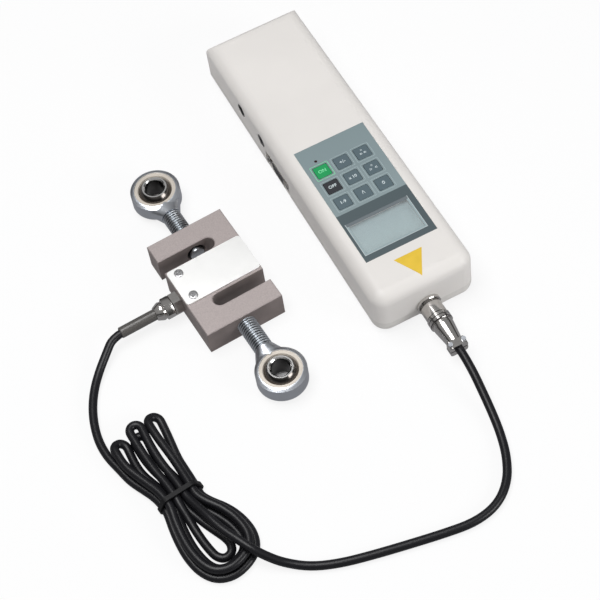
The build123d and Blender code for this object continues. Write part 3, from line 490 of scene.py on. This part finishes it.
wears = {
    "casePlastic": ["front_shell"],
    "rearPaintedShadePlastic": ["rear_shell"],
    "darkPlastic": [
        "lcd_frame", "tact_switches", "board_chips", "board_header", "buzzer", "power_jack",
        "signal_jack", "data_connector_body", "panel_socket_insert", "plug_insert",
    ],
    "keyGreen": ["key_on"],
    "keyBlack": ["key_off"],
    "keySlate": [
        "key_set", "key_print", "key_unit", "key_save", "key_memo", "key_peak", "key_zero",
    ],
    "overlayFilm": ["keypad_overlay"],
    "windowFilm": ["lcd_window"],
    "displayGlass": ["lcd_glass"],
    "ledLens": ["status_led"],
    "stickerFilm": ["triangle_sticker"],
    "boardLaminate": ["keypad_board", "main_board"],
    "batterySleeve": ["battery_cells"],
    "foam": ["battery_foam"],
    "brass": ["mounting_inserts"],
    "nickel": [
        "data_connector_shell", "data_connector_posts", "panel_socket", "panel_nut",
        "plug_shell", "plug_clamp", "gland_body", "gland_nut",
    ],
    "ringNickel": ["coupling_ring"],
    "zinc": [
        "case_screws", "keypad_board_screws", "main_board_screws", "plug_clamp_screws",
        "cover_screws", "upper_rod_end_housing", "lower_rod_end_housing",
    ],
    "raceBronze": ["upper_rod_end_race", "lower_rod_end_race"],
    "ballSteel": ["upper_rod_end_ball", "lower_rod_end_ball"],
    "cellMetal": ["cell_block"],
    "coverSteel": ["cell_cover", "cell_base_cover"],
    "gaugeFoil": ["strain_gauges"],
    "sleeveRubber": ["cable_sleeve"],
    "cableJacket": ["cable_to_plug", "cable_to_cell", "cable_hank"],
    "tieNylon": ["cable_tie"],
}


def wear(piece, finishName):
    piece.data.materials.clear()
    piece.data.materials.append(finishes[finishName])


for finishName, names in wears.items():
    for name in names:
        wear(nodes[name], finishName)
assert sum(len(names) for names in wears.values()) == len(nodes)


# floor

def makeFloor():
    bpy.ops.object.select_all(action="DESELECT")
    bpy.ops.mesh.primitive_plane_add(
        size=studio["floorSize"], location=(0, 0, -studio["floorDrop"])
    )
    floor = bpy.context.object
    floor.name = "floor"
    finish = Finish("paleFloor")
    path = finish.node("LightPath", output="Is Camera Ray")
    glossy = finish.node("LightPath", output="Is Glossy Ray")
    clear = finish.node("LightPath", output="Is Transmission Ray")
    seen = (path + clear) * studio["floorGlow"] + glossy
    for x, y in eyeMiddles.values():
        across = finish.axis("X") - x * mm
        along = finish.axis("Y") - y * mm
        near, far = ((spot * mm) ** 2 for spot in studio["underBall"])
        seen = seen * finish.remap(across * across + along * along, near, far)
    bright = finish.blend(glossy, color(1, 1, 1), studio["mirrored"])
    white = finish.node("Emission", {}, {"Color": bright, "Strength": 1.0})
    finish.set(Base_Color=studio["floor"], Roughness=studio["floorRough"])
    lit = Wire(finish, finish.shader.outputs[0])
    surface = finish.node("MixShader", {}, {0: seen, 1: lit, 2: white})
    finish.feed(finish.tree.nodes["Material Output"].inputs["Surface"], surface)
    floor.data.materials.append(finish.material)


makeFloor()
print("finishes")


# cable: one length from the cell's sleeve through the tied hank to the plug

cable = {
    "diameter": 5.2,
    "middle": (-181.2, -153.7),  # where the tie goes round the hank
    "tiedLayers": (4.0, 8.6),
    "looseLayers": (2.7, 7.8),
    "fanStart": 20.0,
    "fanEnd": 36.0,
    "foldHalf": 3.6,
    "tieHalf": 2,
    "leaveTie": 12,
    "changeLayer": 24,
    "leadHeight": 36,
}
# heights at which a strand is placed between the tie and its top loop
climb = (9, 18, 26)
# a top loop: share of its half width, mm above its reach, share of the way to the next layer
foldCourse = [
    (0.85, -14, 0), (1.0, -4.2, 0.06), (1.0, -0.9, 0.2), (0.41, 1.5, 0.4),
    (-0.41, 1.5, 0.6), (-1.0, -0.9, 0.8), (-1.0, -4.2, 0.94), (-0.85, -14, 1),
]
# every strand at the tie: place across, layer, and its place across where the top loops fan out
strands = {
    1: (-10.6, 0, -22.6), 2: (-7.95, 1, -18.8), 3: (-5.3, 0, -14.4), 4: (-2.65, 1, -7.2),
    5: (0, 0, -7.4), 6: (2.65, 1, -1.4), 7: (5.3, 0, -1.4), 8: (7.95, 1, 6.2), 9: (10.6, 0, 9.2),
}
outerTurn = [
    (-10.8, -5), (-12.0, -14), (-12.7, -24), (-12.5, -34), (-10.2, -45), (-4.6, -53.6),
    (4.8, -56.8), (14.6, -54.4), (22.8, -49.0), (26.4, -39.5), (25.0, -28), (20.6, -17.5),
    (15.6, -9), (11.4, -3.4),
]
innerTurn = [
    (0.6, -7), (2.6, -13), (5.2, -20), (8.4, -27), (11.2, -33), (12.4, -38.4), (10.6, -43.4),
    (5.6, -45.0), (1.8, -41.6), (0.4, -36), (-0.7, -29), (-1.4, -21), (-1.8, -13), (-2.3, -6),
]
# every turn: strand down, strand up, next strand down, how high its top loop reaches, the line that
# it follows at the bottom, how far inside that line its two sides lie, and its layer there
turns = [
    (1, 9, 8, 54.6, outerTurn, (0, 0), 0),
    (8, 2, 3, 48.4, outerTurn[::-1], (3.4, 2.65), 1),
    (3, 7, 5, 48.4, outerTurn, (5.3, 7.4), 0),
    (5, 4, 6, 53.6, innerTurn, (0, 0), 0),
]
spineTip = (8.0, -40.0)
cellSide = [
    (-161.16, -37.99, 9.5), (-171.1, -38.4, 9.4), (-178.6, -44.6, 6.6), (-187, -51.8, 3.6),
    (-194.6, -61, 2.7), (-200.6, -71.8, 2.7), (-204.8, -83.6, 2.7), (-207, -96, 2.7),
    (-206.4, -107.4, 2.7),
]
plugSide = [
    (-177.4, -160, 9.2), (-175.2, -168, 10.8), (-173.6, -175, 12.2), (-171.4, -183.4, 12.8),
    (-168.6, -190.4, 13.0), (-165.1, -197.8, 13.2), (-161.4, -205.1, 12.6),
    (-156.4, -211.2, 9.2), (-149, -217.8, 4.6), (-137, -226.6, 2.8), (-121.5, -233, 2.7),
    (-103, -237.6, 2.7), (-83, -241.8, 2.7), (-63.5, -245.6, 2.7), (-45.5, -248.2, 2.7),
    (-29.5, -245, 2.7), (-17.2, -235, 2.7), (-9.6, -221, 2.7), (-5.2, -206.5, 2.8),
    (-2.8, -193, 4.2), (-1.5, -180.5, 7.4), (-0.6, -169, 11.2), (0, -157.5, 12.5),
    (0, -150, 12.5), (0, -146, 12.5),
]


def ease(share):
    share = min(max(share, 0), 1)
    return share * share * (3 - 2 * share)


def mixed(share, first, second):
    return first + (second - first) * share


def topPoint(strand, height):
    across, layer, fanned = strands[strand]
    tied, loose = cable["tiedLayers"][layer], cable["looseLayers"][layer]
    return (
        mixed(ease(height / cable["fanEnd"]), across, fanned),
        height,
        mixed(ease(height / cable["fanStart"]), tied, loose),
    )


def topLoop(up, following, reach):
    first, last = topPoint(up, reach), topPoint(following, reach)
    middle = (first[0] + last[0]) / 2
    half = math.copysign(max(abs(first[0] - last[0]) / 2, cable["foldHalf"]), first[0] - last[0])
    points = [topPoint(up, height) for height in (0, *climb)]
    for side, above, share in foldCourse:
        points.append((middle + side * half, reach + above, mixed(share, first[2], last[2])))
    return points + [topPoint(following, height) for height in climb[::-1]]


def movedIn(point, inset):
    spine = Vector(spineTip)
    share = min(max(Vector(point).dot(spine) / spine.length_squared, 0), 1)
    return Vector(point) + (spine * share - Vector(point)).normalized() * inset


def bottomLoop(down, up, path, insets, layer):
    points = []
    for step, point in enumerate(path):
        share = step / (len(path) - 1)
        across, tiedLayer, _ = strands[down if share < 0.5 else up]
        low = movedIn(point, mixed(ease(share), *insets))
        away = ease((-point[1] - cable["tieHalf"]) / cable["leaveTie"])
        tied, loose = cable["tiedLayers"][tiedLayer], cable["looseLayers"][layer]
        points.append((
            mixed(away, across, low.x),
            mixed(away, point[1], low.y),
            mixed(ease(-point[1] / cable["changeLayer"]), tied, loose),
        ))
    return points


def hankPoints():
    points = []
    for down, up, following, reach, path, insets, layer in turns:
        points.append(topPoint(down, 0))
        points += bottomLoop(down, up, path, insets, layer)
        points += topLoop(up, following, reach)
    points.append(topPoint(turns[-1][2], 0))
    lead = [topPoint(1, height) for height in (cable["leadHeight"], *climb[::-1])]
    shiftX, shiftY = cable["middle"]
    return [(x + shiftX, y + shiftY, z) for x, y, z in lead + points]


def makeCable():
    points = cellSide + hankPoints() + plugSide
    data = bpy.data.curves.new("cable", "CURVE")
    data.dimensions = "3D"
    spline = data.splines.new("NURBS")
    spline.points.add(len(points) - 1)
    for point, place in zip(spline.points, points):
        point.co = (*[part * mm for part in place], 1)
    spline.order_u = 3
    spline.use_endpoint_u = True
    spline.resolution_u = 5
    line = bpy.data.objects.new("cableLine", data.copy())
    bpy.context.scene.collection.objects.link(line)
    bpy.context.view_layer.update()
    graph = bpy.context.evaluated_depsgraph_get()
    course = bpy.data.meshes.new_from_object(line.evaluated_get(graph))
    bpy.data.objects.remove(line)
    data.bevel_depth = cable["diameter"] / 2 * mm
    data.bevel_resolution = 6
    piece = bpy.data.objects.new("cable", data)
    bpy.context.scene.collection.objects.link(piece)
    data.materials.append(finishes["cableJacket"])
    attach(piece, "gauge")
    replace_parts(piece, "cable_to_plug", "cable_to_cell", "cable_hank")


makeCable()


# shaping helpers

def clearSelection():
    bpy.ops.object.select_all(action="DESELECT")


def selectOnly(*pieces):
    clearSelection()
    for piece in pieces:
        piece.select_set(True)
    bpy.context.view_layer.objects.active = pieces[0]


def settle(piece, matrix):
    piece.matrix_world = matrix @ piece.matrix_world
    selectOnly(piece)
    bpy.ops.object.transform_apply(location=True, rotation=True, scale=True)


# merged, its normals outwards, and without the shading that came with it
def faceOutwards(piece):
    selectOnly(piece)
    bpy.ops.object.mode_set(mode="EDIT")
    bpy.ops.mesh.select_all(action="SELECT")
    bpy.ops.mesh.remove_doubles(threshold=1e-6)
    bpy.ops.mesh.normals_make_consistent(inside=False)
    bpy.ops.object.mode_set(mode="OBJECT")
    bpy.ops.mesh.customdata_custom_splitnormals_clear()


def copyOf(nodeName):
    piece = nodes[nodeName].copy()
    piece.data = piece.data.copy()
    bpy.context.scene.collection.objects.link(piece)
    piece.hide_render = False
    faceOutwards(piece)
    return piece


def finishPiece(piece, name, finishName, body, angle=30):
    piece.name = name
    piece.data.name = name
    wear(piece, finishName)
    selectOnly(piece)
    bpy.ops.object.shade_smooth_by_angle(angle=math.radians(angle))
    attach(piece, body)
    return piece


def applied(piece, kind, **settings):
    selectOnly(piece)
    modifier = piece.modifiers.new(kind.title(), kind)
    for key, value in settings.items():
        setattr(modifier, key, value)
    bpy.ops.object.modifier_apply(modifier=modifier.name)


# shells, their openings in the left wall cut clear through the wall's taper

leftWall = {
    "jackRadius": 4.6,
    "jackSetIn": 0.2,
    "recessGap": 0.6,
    "recessCorner": 1.0,
    "outside": 1.0,
    "inside": 0.3,
}


def wallCutters():
    cutters = []
    reach = (leftWall["outside"] + leftWall["inside"]) * mm
    for jack in ("power_jack", "signal_jack"):
        low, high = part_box(jack)
        middle = (low + high) / 2
        start = low.x - leftWall["jackSetIn"] * mm - leftWall["outside"] * mm
        clearSelection()
        bpy.ops.mesh.primitive_cylinder_add(
            vertices=64, radius=leftWall["jackRadius"] * mm, depth=reach,
            rotation=(0, math.pi / 2, 0), location=(start + reach / 2, middle.y, middle.z),
        )
        cutters.append(bpy.context.object)
    low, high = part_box("data_connector_shell")
    middle = (low + high) / 2
    clearSelection()
    bpy.ops.mesh.primitive_cube_add(
        size=1, location=(low.x - leftWall["outside"] * mm + reach / 2, middle.y, middle.z)
    )
    recess = bpy.context.object
    gap = 2 * leftWall["recessGap"] * mm
    recess.scale = (reach, high.y - low.y + gap, high.z - low.z + gap)
    bpy.ops.object.transform_apply(location=False, rotation=False, scale=True)
    bpy.ops.object.mode_set(mode="EDIT")
    bpy.ops.mesh.select_mode(type="EDGE")
    bpy.ops.mesh.select_all(action="DESELECT")
    bpy.ops.object.mode_set(mode="OBJECT")
    for edge in recess.data.edges:
        first, second = (recess.data.vertices[index].co for index in edge.vertices)
        edge.select = abs(first.x - second.x) > reach / 2
    bpy.ops.object.mode_set(mode="EDIT")
    bpy.ops.mesh.bevel(affect="EDGES", offset=leftWall["recessCorner"] * mm, segments=5)
    bpy.ops.mesh.select_mode(type="VERT")
    bpy.ops.object.mode_set(mode="OBJECT")
    cutters.append(recess)
    return cutters


def makeShells():
    cutters = wallCutters()
    for shellName, finishName in (("front_shell", "casePlastic"), ("rear_shell", "rearPaintedShadePlastic")):
        shell = copyOf(shellName)
        for cutter in cutters:
            applied(shell, "BOOLEAN", operation="DIFFERENCE", object=cutter, solver="EXACT")
        pieceName = shellName.replace("_s", "S")
        piece = finishPiece(shell, pieceName, finishName, "gauge", 35)
        applied(piece, "WEIGHTED_NORMAL", keep_sharp=True)
        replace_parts(piece, shellName)
    for cutter in cutters:
        bpy.data.objects.remove(cutter)


makeShells()
print("shells")


# rod ends: the eye's head as it is, and a screw thread cut along the shank

rod = {
    "blockSide": {"upper": -1, "lower": 1},
    "height": 9.525,
    "lean": 3.145,  # degrees that the load line turns from the case's length
    "threadStart": 20.0,
    "tip": 54.0,
    "pitch": 1.75,
    "crest": 6.0,
    "root": 5.0,
    "facets": 48,
    "foot": 0.6,
    "endSpare": 1.2,
    # every ridge, as shares of the pitch: flank, crest, flank, root
    "flank": 0.38,
    "crestFlat": 0.16,
    "rootFlat": 0.08,
    "tipScale": 0.9,
    "tipBand": 0.1,
    "tipShade": 0.25,
}


def rodFrame(eye):
    x, y = eyeMiddles[eye]
    side = rod["blockSide"][eye]
    lean = math.radians(rod["lean"])
    along = Vector((-math.sin(lean) * side, math.cos(lean) * side, 0))
    across = Vector((0, 0, 1)).cross(along)
    turn = Matrix((across, Vector((0, 0, 1)), along)).transposed()
    return Matrix.Translation(Vector((x, y, rod["height"])) * mm) @ turn.to_4x4(), along


def growRing(rise, scale, height):
    bpy.ops.mesh.extrude_region_move(TRANSFORM_OT_translate={"value": (0, 0, rise * mm)})
    bpy.ops.transform.resize(value=(scale, scale, 1), center_override=(0, 0, (height + rise) * mm))
    return height + rise


def makeThread(eye):
    clearSelection()
    height = rod["threadStart"] - rod["foot"]
    bpy.ops.mesh.primitive_circle_add(
        vertices=rod["facets"], radius=rod["root"] * mm, fill_type="NGON",
        location=(0, 0, height * mm),
    )
    thread = bpy.context.object
    bpy.ops.object.transform_apply(location=True)
    bpy.ops.object.mode_set(mode="EDIT")
    bpy.ops.mesh.select_all(action="SELECT")
    height = growRing(rod["foot"], 1.0, height)
    widen = rod["crest"] / rod["root"]
    ridges = int((rod["tip"] - rod["threadStart"] - rod["endSpare"]) / rod["pitch"])
    for _ in range(ridges):
        height = growRing(rod["flank"] * rod["pitch"], widen, height)
        height = growRing(rod["crestFlat"] * rod["pitch"], 1.0, height)
        height = growRing(rod["flank"] * rod["pitch"], 1 / widen, height)
        height = growRing(rod["rootFlat"] * rod["pitch"], 1.0, height)
    growRing(rod["tip"] - height, rod["tipScale"], height)
    bpy.ops.object.mode_set(mode="OBJECT")
    faceOutwards(thread)
    # painted shade for each point: full in the thread's roots, none on its crests, a little at the
    # tip
    paintedRootShade = thread.data.attributes.new("paintedRootShade", "FLOAT", "POINT")
    for vertex in thread.data.vertices:
        radius = vertex.co.xy.length / mm
        depth = (rod["crest"] - radius) / (rod["crest"] - rod["root"])
        atTip = vertex.co.z > (rod["tip"] - rod["tipBand"]) * mm
        shadeHere = rod["tipShade"] if atTip else min(1.0, max(0.0, depth))
        paintedRootShade.data[vertex.index].value = shadeHere
    frameMatrix, _ = rodFrame(eye)
    settle(thread, frameMatrix)
    faceOutwards(thread)
    return finishPiece(thread, eye + "RodThread", "threadSteel", eye + "_eye", 20)


def makeHead(eye):
    head = copyOf(eye + "_rod_end_housing")
    frameMatrix, along = rodFrame(eye)
    cut = frameMatrix.translation + along * rod["threadStart"] * mm
    bpy.ops.object.mode_set(mode="EDIT")
    bpy.ops.mesh.select_all(action="SELECT")
    bpy.ops.mesh.bisect(plane_co=cut, plane_no=along, use_fill=True, clear_outer=True)
    bpy.ops.object.mode_set(mode="OBJECT")
    return finishPiece(head, eye + "RodHead", "zinc", eye + "_eye", 35)


for eye in eyeMiddles:
    housing = eye + "_rod_end_housing"
    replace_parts(makeHead(eye), housing)
    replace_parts(makeThread(eye), housing)
print("rod ends")


# cross-headed screws of the cell's cover

blockMiddle = (-100.2, -33.0)
coverScrew = {
    "radius": 2.85,
    # in the block's own axes, and the turn of the cross
    "places": [(-18.7, 9.2, 20), (-18.7, -9.2, 58)],
    "seen": 0.4,  # share of the screw's height
    "edge": 0.25,
    "crossWidth": 0.75,
    "crossLength": 3.7,
    "crossDepth": 0.7,
}


def blockFrame(height):
    x, y = blockMiddle
    lean = Matrix.Rotation(math.radians(rod["lean"]), 4, "Z")
    return Matrix.Translation((x * mm, y * mm, height * mm)) @ lean


def makeCoverScrews():
    low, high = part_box("cover_screws")
    depth = (high.z - low.z) * coverScrew["seen"]
    parts = []
    for x, y, turned in coverScrew["places"]:
        clearSelection()
        bpy.ops.mesh.primitive_cylinder_add(
            vertices=48, radius=coverScrew["radius"] * mm, depth=depth,
            location=(0, 0, high.z - depth / 2),
        )
        screw = bpy.context.object
        bpy.ops.object.transform_apply(location=True)
        applied(screw, "BEVEL", width=coverScrew["edge"] * mm, segments=3, limit_method="ANGLE")
        for quarter in (0, 90):
            clearSelection()
            bpy.ops.mesh.primitive_cube_add(size=1, location=(0, 0, high.z))
            blade = bpy.context.object
            blade.scale = (
                coverScrew["crossLength"] * mm, coverScrew["crossWidth"] * mm,
                2 * coverScrew["crossDepth"] * mm,
            )
            blade.rotation_euler = (0, 0, math.radians(turned + quarter))
            bpy.ops.object.transform_apply(location=True, rotation=True, scale=True)
            applied(screw, "BOOLEAN", operation="DIFFERENCE", object=blade, solver="EXACT")
            bpy.data.objects.remove(blade)
        settle(screw, blockFrame(0) @ Matrix.Translation((x * mm, y * mm, 0)))
        parts.append(screw)
    selectOnly(*parts)
    bpy.ops.object.join()
    screws = bpy.context.object
    faceOutwards(screws)
    heads = finishPiece(screws, "coverScrewHeads", "screwSteel", "gauge")
    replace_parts(heads, "cover_screws")


makeCoverScrews()
print("cover screws")


# hexagon nut of the cell's cable gland

gland = {
    "face": (-25.4, -1.5),  # in the block's own axes
    "start": 5.6,  # mm from the block
    # sides, radius, rise
    "steps": [
        (6, 6.2, 0.0), (6, 7.0, 0.5), (6, 7.0, 4.6), (6, 6.3, 0.5), (40, 5.6, 0.0),
        (40, 5.6, 1.0), (40, 5.9, 0.3), (40, 5.7, 1.2), (40, 4.25, 3.2), (40, 3.7, 0.2),
    ],
    "turned": 12,
    "edge": 0.15,
    "edgeAngle": 40,
}


def makeGlandNut():
    height = last = 0
    parts = []
    for sides, radius, rise in gland["steps"]:
        height += rise
        if not rise:
            bpy.ops.object.mode_set(mode="OBJECT")
            clearSelection()
            bpy.ops.mesh.primitive_circle_add(
                vertices=sides, radius=radius * mm, fill_type="NGON", location=(0, 0, height * mm)
            )
            parts.append(bpy.context.object)
            bpy.ops.object.transform_apply(location=True)
            bpy.ops.object.mode_set(mode="EDIT")
            bpy.ops.mesh.select_all(action="SELECT")
        else:
            growRing(rise, radius / last, height - rise)
        last = radius
    bpy.ops.object.mode_set(mode="OBJECT")
    selectOnly(*parts)
    bpy.ops.object.join()
    nut = bpy.context.object
    applied(
        nut, "BEVEL", width=gland["edge"] * mm, segments=2, limit_method="ANGLE",
        angle_limit=math.radians(gland["edgeAngle"]),
    )
    x, y = gland["face"]
    start = Matrix.Translation(((x - gland["start"]) * mm, y * mm, 0))
    out = start @ Matrix.Rotation(math.radians(-90), 4, "Y")
    turned = Matrix.Rotation(math.radians(gland["turned"]), 4, "Z")
    settle(nut, blockFrame(rod["height"]) @ out @ turned)
    faceOutwards(nut)
    piece = finishPiece(nut, "glandNut", "nickel", "gauge", 25)
    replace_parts(piece, "gland_nut")


makeGlandNut()
print("gland")


# keypad: pale outlines round the keys and plain marks on them

keypad = {
    "outline": 0.26,
    "corner": 0.6,
    "clearance": 0.22,  # from the key to its outline
    "lift": 0.02,
    "thickness": 0.04,
    "swell": 0.05,
    "ring": (0.5, 0.12),  # radius, and radius of its line
    "ringUp": 2.7,
    # words, size, how far above the key's middle
    "marks": {
        "on": ("ON", 3.3, 0), "off": ("OFF", 3.1, 0), "set": ("+/-", 3.3, 0),
        "unit": ("x 10", 3.0, 0), "memo": ("1-9", 3.1, 0), "peak": ("/\\", 3.3, 0),
        "zero": ("0", 3.4, 0), "print": ("= =", 3.1, -0.9), "save": (">  <", 3.1, -0.9),
    },
}


def makeOutline(key):
    low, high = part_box("key_" + key)
    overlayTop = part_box("keypad_overlay")[1].z
    clearSelection()
    bpy.ops.mesh.primitive_plane_add(size=1, location=(0, 0, 0))
    outline = bpy.context.object
    spare = 2 * (keypad["clearance"] + keypad["outline"]) * mm
    outline.scale = (high.x - low.x + spare, high.y - low.y + spare, 1)
    bpy.ops.object.transform_apply(scale=True)
    bpy.ops.object.mode_set(mode="EDIT")
    bpy.ops.mesh.select_all(action="SELECT")
    bpy.ops.mesh.bevel(affect="VERTICES", offset=keypad["corner"] * mm, segments=4)
    bpy.ops.mesh.inset(thickness=keypad["outline"] * mm)
    bpy.ops.mesh.delete(type="FACE")
    bpy.ops.object.mode_set(mode="OBJECT")
    middle = (low + high) / 2
    settle(outline, Matrix.Translation((middle.x, middle.y, overlayTop + keypad["lift"] * mm)))
    applied(outline, "SOLIDIFY", thickness=keypad["thickness"] * mm, offset=1)
    faceOutwards(outline)
    ink = "greenInk" if key == "on" else "lineInk"
    finishPiece(outline, key + "Outline", ink, "gauge")


def makeMark(key, ringed):
    low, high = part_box("key_" + key)
    words, size, rise = keypad["marks"][key]
    clearSelection()
    bpy.ops.object.text_add(location=(0, 0, 0))
    mark = bpy.context.object
    mark.data.body = words
    mark.data.size = size * mm
    mark.data.align_x = "CENTER"
    mark.data.align_y = "CENTER"
    mark.data.extrude = keypad["thickness"] / 2 * mm
    mark.data.offset = keypad["swell"] * mm
    mark.data.resolution_u = 4
    bpy.ops.object.convert(target="MESH")
    middle = (low + high) / 2
    spot = Vector((middle.x, middle.y + rise * mm, high.z + keypad["lift"] * mm))
    settle(mark, Matrix.Translation(spot))
    if ringed:
        radius, line = keypad["ring"]
        clearSelection()
        bpy.ops.mesh.primitive_torus_add(
            major_radius=radius * mm, minor_radius=line * mm, major_segments=20,
            minor_segments=6, location=(0, 0, 0),
        )
        ring = bpy.context.object
        settle(ring, Matrix.Translation((spot.x, spot.y + keypad["ringUp"] * mm, spot.z)))
        selectOnly(mark, ring)
        bpy.ops.object.join()
    faceOutwards(mark)
    ink = "greenInk" if key == "on" else "paleInk"
    finishPiece(mark, key + "Mark", ink, "key_" + key)


for key in keypad["marks"]:
    makeOutline(key)
    makeMark(key, key in ("print", "save"))
print("keypad")
